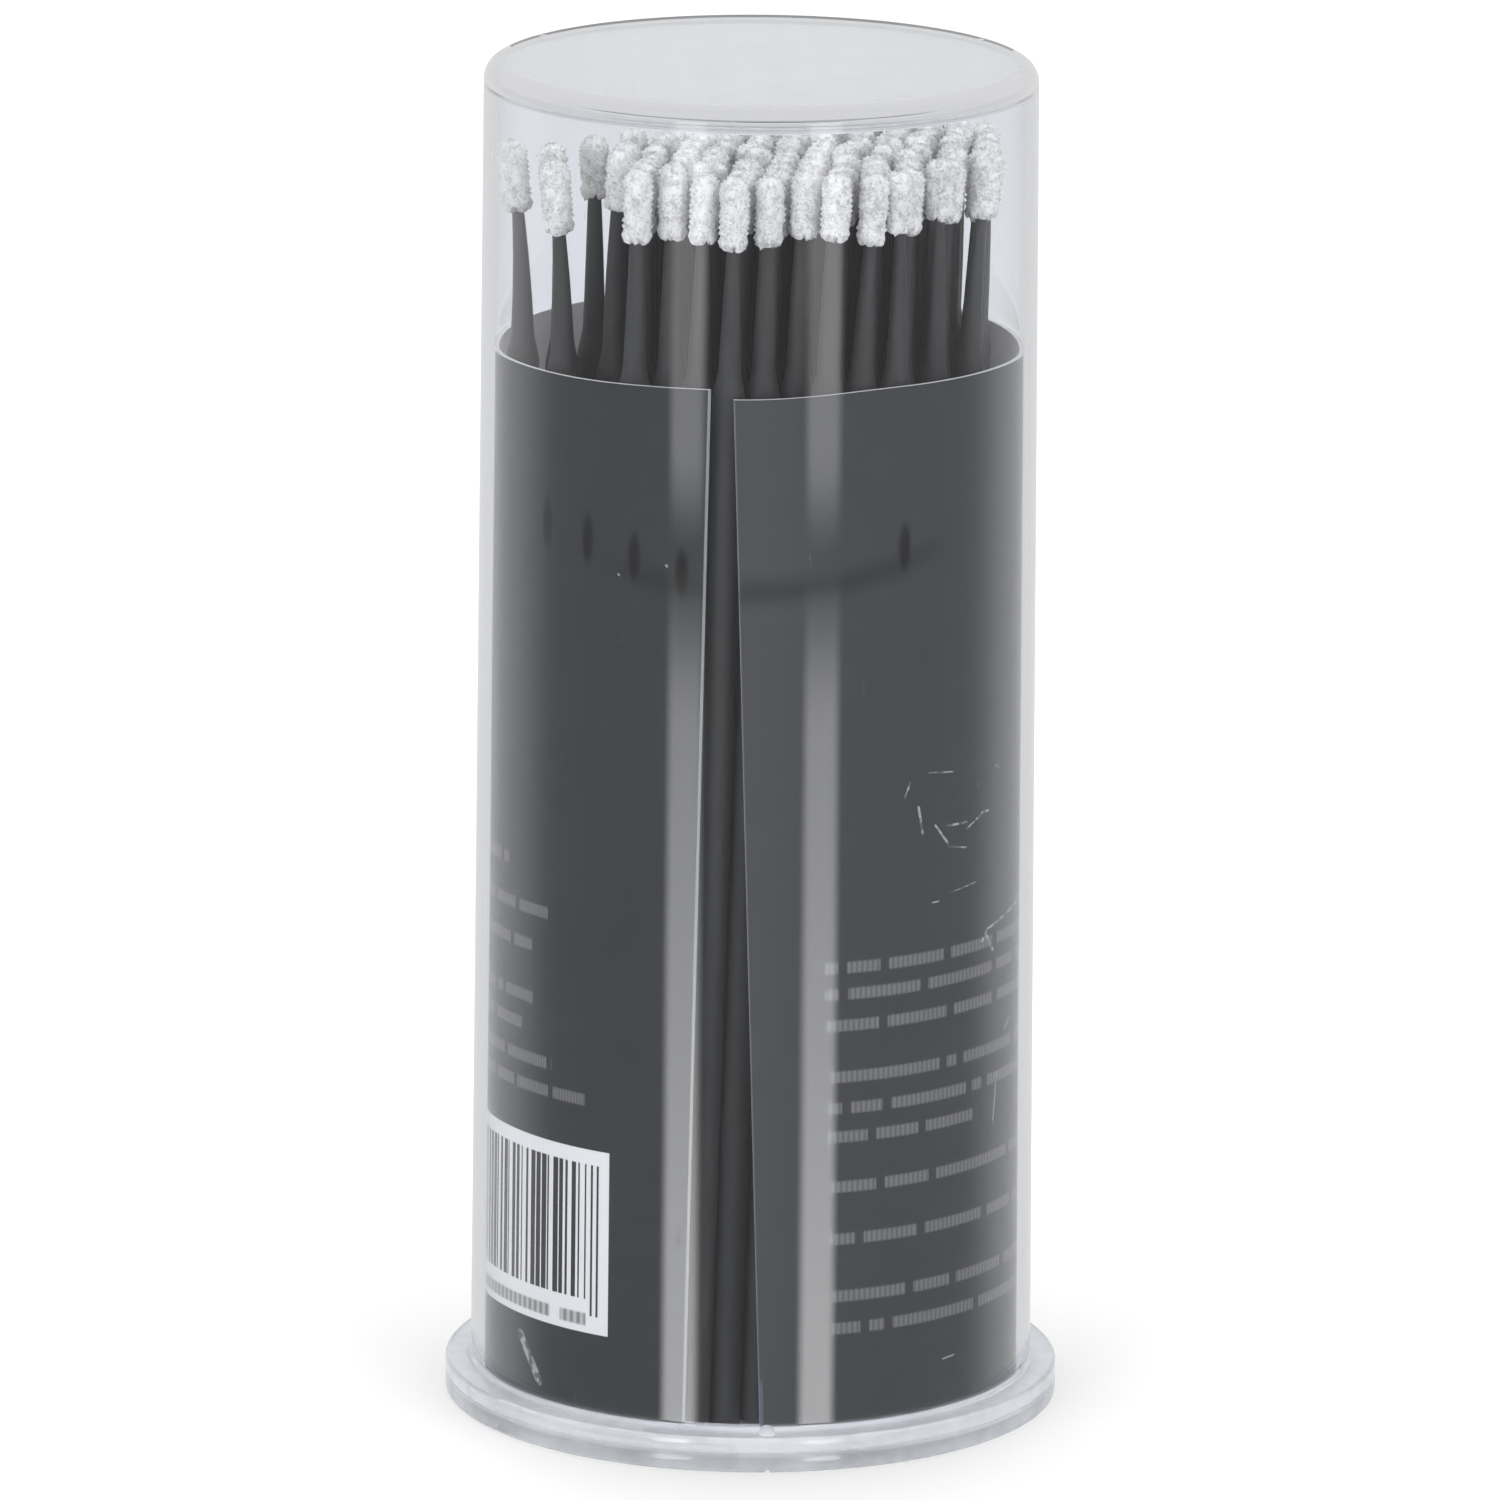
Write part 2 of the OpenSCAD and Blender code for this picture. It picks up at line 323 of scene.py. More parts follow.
def trace(name, points):
    """Draws a half section point by point, starting from one merged vertex."""
    piece = start_from(bpy.ops.mesh.primitive_plane_add, size=MM, location=(0, 0, 0))
    named(piece, name)
    bpy.ops.mesh.merge(type="CENTER")
    move(points[0][0], 0, points[0][1])
    for (radius, height), (next_radius, next_height) in zip(points, points[1:]):
        step = (next_radius - radius, 0, next_height - height)
        bpy.ops.mesh.extrude_vertices_move(TRANSFORM_OT_translate={"value": step})
    return piece


def revolve(name, points, sides):
    """Turns a half section round the Z axis into a closed form."""
    piece = trace(name, points)
    bpy.ops.mesh.select_all(action="SELECT")
    bpy.ops.mesh.spin(steps=sides, angle=math.tau, center=(0, 0, 0), axis=(0, 0, 1))
    bpy.ops.mesh.select_all(action="SELECT")
    bpy.ops.mesh.remove_doubles(threshold=MERGE)
    bpy.ops.mesh.delete_loose()
    bpy.ops.mesh.select_all(action="SELECT")
    bpy.ops.mesh.normals_make_consistent(inside=False)
    close_edit()
    return piece


def combine(piece, tool, operation):
    """Adds or cuts away a second solid, which is used up."""
    pick(piece)
    apply_modifier(piece, "BOOLEAN", operation=operation, solver="EXACT", object=tool)
    remove(tool)


def smooth(piece):
    """Smooth shading up to an edge angle, with the large faces kept true."""
    pick(piece)
    bpy.ops.object.shade_smooth_by_angle(angle=SMOOTH_LIMIT)
    apply_modifier(piece, "WEIGHTED_NORMAL", keep_sharp=True)


def dress(piece, *finishes):
    """Gives a piece its finishes, the first one all over."""
    piece.data.materials.clear()
    for finish in finishes:
        piece.data.materials.append(finish)


def seat(piece, body, nodes):
    """Lets a finished piece ride on its body and stand for its CAD nodes."""
    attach(piece, body)
    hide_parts(*nodes)


# ---- Shader helpers


def operation(kind, turned=False):
    """An operator of Socket that adds one Math node."""
    def build(self, *others):
        values = (*others, self) if turned else (self, *others)
        return self.finish.node("ShaderNodeMath", {"operation": kind}, values)
    return build


class Socket:
    """A shader socket that Python's operators build Math nodes from."""

    def __init__(self, finish, socket):
        self.finish = finish
        self.socket = socket

    __add__ = __radd__ = operation("ADD")
    __sub__ = operation("SUBTRACT")
    __rsub__ = operation("SUBTRACT", turned=True)
    __mul__ = __rmul__ = operation("MULTIPLY")
    __truediv__ = operation("DIVIDE")
    __pow__ = operation("POWER")
    __gt__ = operation("GREATER_THAN")
    __lt__ = operation("LESS_THAN")
    __abs__ = operation("ABSOLUTE")
    floor = operation("FLOOR")
    fraction = operation("FRACT")
    least = operation("MINIMUM")
    most = operation("MAXIMUM")
    heading = operation("ARCTAN2")

    def ramp(self, low, high, to_low=0.0, to_high=1.0):
        """Runs smoothly from to_low at low to to_high at high."""
        return self.finish.node(
            "ShaderNodeMapRange",
            {"interpolation_type": "SMOOTHSTEP"},
            {"Value": self, "From Min": low, "From Max": high, "To Min": to_low, "To Max": to_high},
        )

    def between(self, low, high, soft):
        """1 from low to high and 0 outside, with soft edges."""
        return self.ramp(low - soft, low + soft) * self.ramp(high - soft, high + soft, 1.0, 0.0)


class Finish:
    """A material whose nodes all come from one method."""

    def __init__(self, name, tree=None):
        if tree is None:
            self.material = bpy.data.materials.new(name)
            self.material.use_nodes = True
            tree = self.material.node_tree
        self.tree = tree
        self.tree.nodes.clear()

    def node(self, kind, settings=None, values=None, output=0):
        """Adds a node, sets it, feeds its sockets and returns one output."""
        node = self.tree.nodes.new(kind)
        for key, setting in (settings or {}).items():
            setattr(node, key, setting)
        if isinstance(values, dict):
            pairs = [
                (next(s for s in node.inputs if s.enabled and s.name == key), value)
                for key, value in values.items()
            ]
        else:
            pairs = list(zip(node.inputs, values or ()))
        for socket, value in pairs:
            if isinstance(value, Socket):
                self.tree.links.new(value.socket, socket)
            elif socket.type == "RGBA" and len(value) == 3:
                socket.default_value = (*value, 1.0)
            else:
                socket.default_value = value
        outputs = [s for s in node.outputs if s.enabled]
        if isinstance(output, str):
            return Socket(self, next(s for s in outputs if s.name == output))
        return Socket(self, outputs[output]) if outputs else node

    def place(self):
        """Object coordinates, in metres."""
        return self.node("ShaderNodeTexCoord", output="Object")

    def split(self, vector):
        """The three numbers of a vector."""
        return [
            self.node("ShaderNodeSeparateXYZ", None, {"Vector": vector}, output=axis)
            for axis in "XYZ"
        ]

    def axes(self):
        """The three object coordinates in millimetres."""
        return [part * (1 / MM) for part in self.split(self.place())]

    def ray(self, kind):
        """What Light Path says of a ray."""
        return self.node("ShaderNodeLightPath", output=kind)

    def random(self, number):
        """A random share for each whole number."""
        return self.node(
            "ShaderNodeTexWhiteNoise", {"noise_dimensions": "1D"}, {"W": number}, output="Value",
        )

    def stretched(self, scale):
        """Object coordinates scaled by a vector."""
        return self.node(
            "ShaderNodeVectorMath", {"operation": "MULTIPLY"}, (self.place(), scale),
        )

    def noise(self, where, scale, detail=2.0, roughness=0.5):
        """Grey noise at a place."""
        return self.node(
            "ShaderNodeTexNoise", None,
            {"Vector": where, "Scale": scale, "Detail": detail, "Roughness": roughness},
        )

    def mix(self, share, first, second):
        """Mixes two colours."""
        return self.node(
            "ShaderNodeMix", {"data_type": "RGBA"}, {"Factor": share, "A": first, "B": second},
        )

    def mix_shaders(self, share, first, second):
        """Mixes two shaders."""
        return self.node("ShaderNodeMixShader", None, (share, first, second))

    def bump(self, height, distance, strength=1.0):
        """A Bump node for a height."""
        return self.node(
            "ShaderNodeBump", None, {"Height": height, "Distance": distance, "Strength": strength},
        )

    def principled(self, **sockets):
        """A Principled shader, with socket names written with underscores."""
        named_sockets = {key.replace("_", " "): value for key, value in sockets.items()}
        return self.node("ShaderNodeBsdfPrincipled", None, named_sockets)

    def end(self, shader, kind="ShaderNodeOutputMaterial"):
        """Links the last shader to the output."""
        self.node(kind, None, {"Surface": shader})
        return getattr(self, "material", None)


def toned(base, share):
    """A colour made darker or paler, up to white."""
    return tuple(min(1.0, part * share) for part in base)


def clear_finish(name, sizes, deepest):
    """Clear moulded plastic that lets the lamps through, with faint handling marks."""
    finish = Finish(name)
    waves = finish.noise(finish.stretched((1, 1, 0.35)), 90.0, 1.0)
    hairlines = finish.noise(finish.stretched((1, 1, 0.12)), 2600.0, 2.0).ramp(0.66, 0.7)
    marks = finish.noise(finish.place(), 260.0, 3.0).ramp(0.55, 0.75)
    plastic = finish.principled(
        Base_Color=tuple(part * part for part in sizes.tint),
        Roughness=0.012 + hairlines * marks * 0.25,
        IOR=1.5,
        Transmission_Weight=1.0,
        Normal=finish.bump(waves, 0.00004, 0.5),
    )
    cloudy = finish.noise(finish.place(), 150.0, 3.0).ramp(0.3, 0.7, 0.75, 1.25)
    height = finish.axes()[2]
    hazy = finish.mix_shaders(
        height.ramp(2.7, 3.3, sizes.haze, 0.0) * cloudy, plastic,
        finish.principled(Base_Color=tuple(sizes.haze_colour), Roughness=0.5),
    )
    through = finish.node("ShaderNodeBsdfTransparent", None, {"Color": tuple(sizes.lamp_tint)})
    lamp_ray = finish.ray("Is Shadow Ray").most(finish.ray("Is Diffuse Ray"))
    deep_ray = finish.ray("Ray Depth") > deepest
    return finish.end(finish.mix_shaders(lamp_ray.most(deep_ray), hazy, through))


def print_lines(finish, across, up, left, lines, height, advance):
    """Lines of plain dashes that stand for small print, each a foot and a right end."""
    number = foot = end = 0.0
    foot_below = end_below = 0.0
    for line_foot, line_end in sorted(lines):
        above = up > line_foot
        number = above + number
        foot = above * (line_foot - foot_below) + foot
        end = above * (line_end - end_below) + end
        foot_below, end_below = line_foot, line_end
    cell = across / advance + number * 17.37
    group = cell / 7.0
    pause = finish.random(group.floor()) * 0.85
    word = 1 - group.fraction().between(pause, pause + 0.12, 0.01)
    ticks = (cell * 2.0).fraction().between(0.2, 0.7, 0.2)
    row = ((up - foot) / height).between(0.04, 0.66, 0.08)
    return row * word * across.between(left, end, 0.1) * (0.5 + ticks * 0.5)


def scratch(across, up, start, end, width):
    """A straight scratch between two places on the sheet."""
    run = Vector(end) - Vector(start)
    along = ((across - start[0]) * run[0] + (up - start[1]) * run[1]) / run.length_squared
    share = along.most(0.0).least(1.0)
    off_across = across - start[0] - share * run[0]
    off_up = up - start[1] - share * run[1]
    return ((off_across * off_across + off_up * off_up) ** 0.5).ramp(0.5 * width, width, 1.0, 0.0)


def blotch(across, up, middle, half_width, half_height):
    """A soft upright blotch."""
    aside = (across - middle[0]) / half_width
    above = (up - middle[1]) / half_height
    return (aside * aside + above * above).ramp(0.2, 1.3, 1.0, 0.0)


def gap_edge(sizes, x, z, side):
    """How far a place lies to the right of the left (-1) or right (1) edge of the gap, in mm."""
    foot = (sizes.gap_bottom_place + side * sizes.gap_bottom / 2) / MM
    crown = (sizes.gap_top_place + side * sizes.gap_top / 2) / MM
    share = (z - 2.9) / (sizes.height / MM)
    return x - share * (crown - foot) - foot


def sheet_ground(finish, sizes, across, z, right_of_gap):
    """The printed ground with a painted sheen right of the gap, and a painted dark reflection: a
    dark band with dark blotches along it.
    """
    mottle = finish.noise(finish.place(), 160.0, 4.0)
    ground = finish.mix(
        mottle, toned(sizes.print_colour, 0.86), toned(sizes.print_colour, 1.14),
    )
    # Painted sheen: the ground turns paler right of the gap and fades out towards the back.
    painted_sheen = right_of_gap * across.ramp(-2.0, 7.0, 1.0, 0.4) * across.ramp(20.0, 34.0, 1.0, 0.0)
    ground = finish.mix(painted_sheen, ground, sizes.painted_sheen_colour)
    # Painted dark reflection: a dark band bowed across the front at about 70 mm, with dark upright
    # blotches along it.
    bow = z - (across + 2.0) * (across + 2.0) * 0.01
    painted_dark_reflection = bow.between(68.6, 70.2, 0.9) * across.between(-13.0, 14.0, 3.0) * 0.5
    for middle in (
        (-19.9, 73.2), (-15.5, 72.5), (-11.2, 71.5), (-7.2, 70.5), (-3.4, 70.0), (10.9, 72.2),
    ):
        painted_dark_reflection = painted_dark_reflection.most(blotch(across, z, middle, 0.62, 2.2))
    # The painted dark reflection is mottled and mixed towards near black.
    dark_reflection_mottle = finish.noise(finish.stretched((1, 1, 0.3)), 420.0, 2.0).ramp(0.2, 0.6, 0.8, 1.0)
    return finish.mix(painted_dark_reflection * dark_reflection_mottle, ground, (0.001, 0.001, 0.001))


def sheet_panel(finish, sizes, across, z, paint):
    """The pale panel with its upright bars and the dashes below them."""
    paint = finish.mix(
        across.between(-34.0, -12.9, 0.03) * z.between(9.2, 24.0, 0.03), paint, sizes.ink_colour,
    )
    slots = across / 0.66
    bars = slots.fraction() < finish.random(slots.floor()).ramp(0.0, 1.0, 0.22, 0.85)
    field = across.between(-33.0, -14.9, 0.02) * z.between(11.9, 22.8, 0.03)
    ends = across.between(-14.6, -14.4, 0.02).most(across.between(-14.05, -13.85, 0.02))
    dark = (field * bars).most(ends * z.between(10.6, 22.8, 0.03))
    dashes = print_lines(finish, across, z, -33.0, [(9.7, -15.0)], 1.6, 1.35)
    return finish.mix(dark.most(dashes * 0.75), paint, sizes.bar_colour)


def sheet_finish(sizes):
    """Printed outer face of the rolled sheet."""
    finish = Finish("sheet_print")
    x, y, z = finish.axes()
    across = x.heading(y * -1.0) * 21.4
    in_front = y < 0
    from_left = gap_edge(sizes, x, z, -1)
    from_right = gap_edge(sizes, x, z, 1)

    paint = sheet_ground(finish, sizes, across, z, in_front * (from_right > -0.5))
    right_lines = [
        (39.0, 29.0), (36.9, 31.0), (34.4, 29.5), (30.3, 28.5), (27.8, 30.0), (25.5, 18.6),
        (21.5, 29.5), (17.3, 28.0), (12.7, 29.0), (10.1, 30.0),
    ]
    left_lines = [
        (45.0, -24.8), (41.6, -19.4), (38.7, -21.0), (34.5, -21.2), (32.2, -22.6), (29.6, -18.8),
        (27.4, -15.3),
    ]
    small_print = print_lines(finish, across, z, 5.4 - z * 0.027, right_lines, 1.45, 0.9).most(
        print_lines(finish, across, z, -33.0, left_lines, 1.5, 0.62)
    )
    paint = finish.mix(small_print * 0.18, paint, sizes.ink_colour)
    paint = sheet_panel(finish, sizes, across, z, paint)

    scuffs = None
    for start, end, width in (
        ((11.6, 53.7), (11.1, 52.5), 0.11), ((12.4, 51.6), (12.8, 49.5), 0.14),
        ((13.3, 54.2), (16.0, 53.9), 0.07), ((21.5, 53.4), (22.2, 53.0), 0.12),
        ((19.0, 52.5), (19.1, 52.1), 0.1), ((14.1, 49.9), (15.5, 48.2), 0.13),
        ((15.4, 49.7), (17.6, 49.6), 0.12), ((17.6, 49.1), (19.5, 49.9), 0.1),
        ((19.5, 50.0), (20.4, 50.0), 0.12), ((15.5, 48.0), (17.5, 47.6), 0.08),
        ((13.7, 43.8), (14.5, 43.8), 0.08), ((15.8, 44.3), (18.7, 44.6), 0.06),
        ((27.0, 41.8), (20.4, 40.5), 0.13), ((20.4, 40.5), (19.7, 39.7), 0.16),
        ((20.3, 40.0), (21.2, 38.7), 0.16), ((24.1, 32.5), (23.4, 31.9), 0.13),
        ((22.0, 28.7), (21.4, 24.6), 0.09), ((15.3, 6.8), (16.5, 6.9), 0.08),
        ((-22.3, 7.5), (-19.9, 4.3), 0.5), ((-12.6, 70.1), (-12.5, 70.0), 0.09),
        ((-4.7, 73.1), (-4.7, 72.8), 0.12), ((-8.5, 71.2), (-8.4, 71.1), 0.1),
    ):
        mark = scratch(across, z, start, end, width)
        scuffs = mark if scuffs is None else scuffs.most(mark)
    worn = finish.noise(finish.place(), 1500.0, 2.0).ramp(0.42, 0.56)
    paint = finish.mix(scuffs * (0.2 + worn * 0.8) * 0.75, paint, sizes.worn_colour)

    line = sizes.pale_line / MM
    left_card = from_left.between(-line, 0.1, 0.03) * in_front
    right_card = from_right.between(-0.1, 0.4 * line, 0.03) * in_front
    wide_card = from_right.between(-0.1, 1.4 * line, 0.05) * in_front
    patch = right_card.most(wide_card) * z.between(2.0, 6.6, 0.4)
    paint = finish.mix(left_card * 0.5, paint, sizes.worn_colour)
    paint = finish.mix(right_card * 0.14, paint, sizes.worn_colour)
    paint = finish.mix(patch * 0.5, paint, (0.15, 0.18, 0.25))
    fibres = finish.noise(finish.place(), 1900.0, 3.0)
    return finish.end(finish.principled(
        Base_Color=paint,
        Roughness=0.45 + fibres * 0.1 + scuffs * 0.2,
        Normal=finish.bump(fibres, 0.00001, 0.2),
    ))


def card_finish(name, base):
    """Bare card, for the sheet's inner face and its cut edges."""
    finish = Finish(name)
    cloud = finish.noise(finish.place(), 220.0, 3.0)
    fibres = finish.noise(finish.stretched((1, 1, 0.4)), 2400.0, 3.0)
    return finish.end(finish.principled(
        Base_Color=finish.mix(cloud * 0.6 + fibres * 0.4, toned(base, 0.82), toned(base, 1.18)),
        Roughness=0.62 + fibres * 0.2,
        Normal=finish.bump(fibres, 0.00003, 0.5),
    ))


def handle_finish(sizes):
    """Half-gloss black plastic with the flow lines and scuffs of moulding."""
    finish = Finish("black_handle")
    flow = finish.noise(finish.stretched((1, 1, 0.06)), 900.0, 2.0)
    specks = finish.noise(finish.place(), 2200.0, 3.0)
    scuffed = finish.noise(finish.stretched((1, 1, 0.25)), 700.0, 2.0).ramp(0.55, 0.75)
    base = finish.mix(
        flow * 0.7 + scuffed * 0.3, toned(sizes.plastic, 0.75), toned(sizes.plastic, 1.5),
    )
    return finish.end(finish.principled(
        Base_Color=base,
        Roughness=0.36 + flow * 0.12 + scuffed * 0.15,
        Normal=finish.bump(specks, 0.00001, 0.15),
    ))


def flock_finish(sizes):
    """White flock: short fibres, with painted grey shade in the hollows between them."""
    finish = Finish("white_flock")
    grain = finish.noise(finish.place(), 5200.0, 2.0, 0.6)
    tufts = finish.noise(finish.place(), 2600.0, 3.0, 0.65)
    hollow_shade = finish.noise(finish.place(), 1100.0, 2.0)
    # Painted shade: the flock turns grey in the hollows between fibres and tufts.
    base = finish.mix(
        (grain * 0.35 + tufts * 0.35 + hollow_shade * 0.3).ramp(0.36, 0.56),
        toned(sizes.flock, 0.6), sizes.flock,
    )
    return finish.end(finish.principled(
        Base_Color=base,
        Roughness=0.9 - tufts * 0.1,
        Sheen_Weight=0.2,
        Specular_IOR_Level=0.2,
        Normal=finish.bump(grain * 0.4 + tufts * 0.6, 0.00012, 0.8),
    ))


def floor_finish(sizes):
    """Pale matt floor that reflections inside the clear plastic pass by, as other gloss does."""
    finish = Finish("floor_paint")
    cloud = finish.noise(finish.place(), 3.0, 2.0)
    base = finish.mix(cloud, toned(sizes.floor_colour, 0.985), sizes.floor_colour)
    matt = finish.principled(Base_Color=base, Roughness=0.85, Specular_IOR_Level=0.2)
    turned = finish.ray("Glossy Depth") > 0.5
    unseen = finish.node("ShaderNodeBsdfTransparent")
    return finish.end(finish.mix_shaders(turned * finish.ray("Is Transmission Ray"), matt, unseen))


# ---- Pieces


def wall_radius(sizes, height):
    """Outer radius of the wall at a height above the mouth."""
    return sizes.mouth_radius - math.tan(sizes.draft) * height


def bore_radius(sizes, height):
    """Inner radius of the wall at a height above the mouth."""
    return wall_radius(sizes, height) - sizes.wall


def rim_points(edge, low, high, radius):
    """The rounded rim of a disc, from its lower to its upper edge."""
    return (
        arc(edge - radius, low + radius, radius, -90, 0, EDGE_STEPS)
        + arc(edge - radius, high - radius, radius, 0, 90, EDGE_STEPS)
    )


def tub_points(sizes):
    """Half section of the tub, from the middle of its end down and up inside."""
    base = sizes.lid_thickness
    top = base + sizes.height
    corner = wall_radius(sizes, sizes.height) - sizes.end_round
    flange = sizes.mouth_radius + sizes.flange_width
    flange_top = base + sizes.flange_thickness
    fillet = sizes.foot_fillet
    foot = wall_radius(sizes, sizes.flange_thickness) + fillet
    mouth = base + sizes.seat_gap
    ceiling = top - sizes.end_thickness
    inner = sizes.inner_round
    return (
        [(0, top)]
        + arc(corner, top - sizes.end_round, sizes.end_round, 90, 0, CORNER_STEPS)
        + arc(foot, flange_top + fillet, fillet, 180, 270, EDGE_STEPS)
        + rim_points(flange, mouth, flange_top, sizes.rim_round)[::-1]
        + [(bore_radius(sizes, 0) + sizes.lead_in, mouth)]
        + [(bore_radius(sizes, sizes.lead_in), base + sizes.lead_in)]
        + arc(bore_radius(sizes, sizes.height) - inner, ceiling - inner, inner, 0, 90, INNER_STEPS)
        + [(0, ceiling)]
    )


def lid_points(sizes):
    """Half section of the lid, from the middle of its underside outwards."""
    top = sizes.lid_thickness
    plug_top = top + sizes.plug_height
    plug = sizes.mouth_radius - sizes.wall - sizes.plug_clearance
    plug_inner = plug - sizes.plug_thickness
    edge = sizes.mouth_radius + sizes.flange_width
    return (
        [(0, 0)]
        + rim_points(edge, 0, top, sizes.rim_round)
        + [(plug, top), (plug, plug_top - sizes.lead_in), (plug - sizes.lead_in, plug_top)]
        + [(plug_inner, plug_top), (plug_inner, top), (0, top)]
    )


def cone_ends(points, direction, depth):
    """Middles of the first and last slice of a stick of points along a direction."""
    reach = [point.dot(direction) for point in points]
    ends = []
    for limit, side in ((min(reach), 1), (max(reach), -1)):
        near = [p for p, r in zip(points, reach) if side * (r - limit) < depth]
        low = Vector([min(p[i] for p in near) for i in range(3)])
        high = Vector([max(p[i] for p in near) for i in range(3)])
        ends.append((low + high) / 2)
    return ends


def sticks_in(node):
    """Lower and upper end of each stick of a CAD node, from a merged copy of its mesh."""
    clear_selection()
    original = frame["nodes"][node]
    copy = bpy.data.objects.new("stick_copy", original.data.copy())
    bpy.context.collection.objects.link(copy)
    edit(copy, "SELECT")
    bpy.ops.mesh.remove_doubles(threshold=LOOSE_MERGE)
    bpy.ops.mesh.separate(type="LOOSE")
    close_edit()
    parts = [o for o in bpy.context.view_layer.objects if o.name.startswith("stick_copy")]
    sticks = []
    for part in parts:
        points = [vertex.co.copy() for vertex in part.data.vertices]
        direction = Vector((0, 0, 1))
        for _ in range(3):
            low, high = cone_ends(points, direction, 0.06 * MM)
            direction = (high - low).normalized()
        sticks.append((low, high))
    remove(*parts)
    return sorted(sticks, key=lambda ends: ends[0][:2])


SWAY_SHARES = (0.15, 0.6, 1.0)
LOOSE = len(SWAY_SHARES)


def stands(node, seed):
    """Where each applicator of a handle node stands, and which of the swayed handles it is."""
    draws = random.Random(seed)
    places = []
    for low, high in sticks_in(node):
        kind = LOOSE if "loose" in node else draws.randrange(LOOSE)
        heading = math.atan2(high.y, high.x) if kind == LOOSE else draws.uniform(0, math.tau)
        lean = Vector((0, 0, 1)).rotation_difference((high - low).normalized())
        turn = Matrix.Rotation(heading, 4, "Z")
        places.append((Matrix.Translation(low) @ lean.to_matrix().to_4x4() @ turn, kind))
    return places


def sways(sizes):
    """How far the head stands aside for each kind of handle."""
    return [share * sizes.sway for share in SWAY_SHARES] + [sizes.loose_sway]


def aside_at(sizes, height, sway):
    """How far a swayed neck stands aside at a height."""
    neck = sizes.shoulder_height + sizes.shoulder_length
    return sway * (max(0.0, height - neck) / (sizes.length - neck)) ** 2


def stand_copies(pairs, name):
    """Copies masters to their places and joins the copies into one piece."""
    copies = []
    for master, place in pairs:
        copy = bpy.data.objects.new(name, master.data.copy())
        bpy.context.collection.objects.link(copy)
        copy.matrix_world = place
        copies.append(copy)
    pick(*copies)
    bpy.ops.object.transform_apply(location=True, rotation=True, scale=True)
    if len(copies) > 1:
        bpy.ops.object.join()
    return named(copies[0], name)


def finish_rows(rows, finish, masters):
    """Dresses and seats each row of the bundle, and deletes the masters."""
    for node, row in rows:
        dress(row, finish)
        seat(row, LID_BODY, [node])
    remove(*masters)


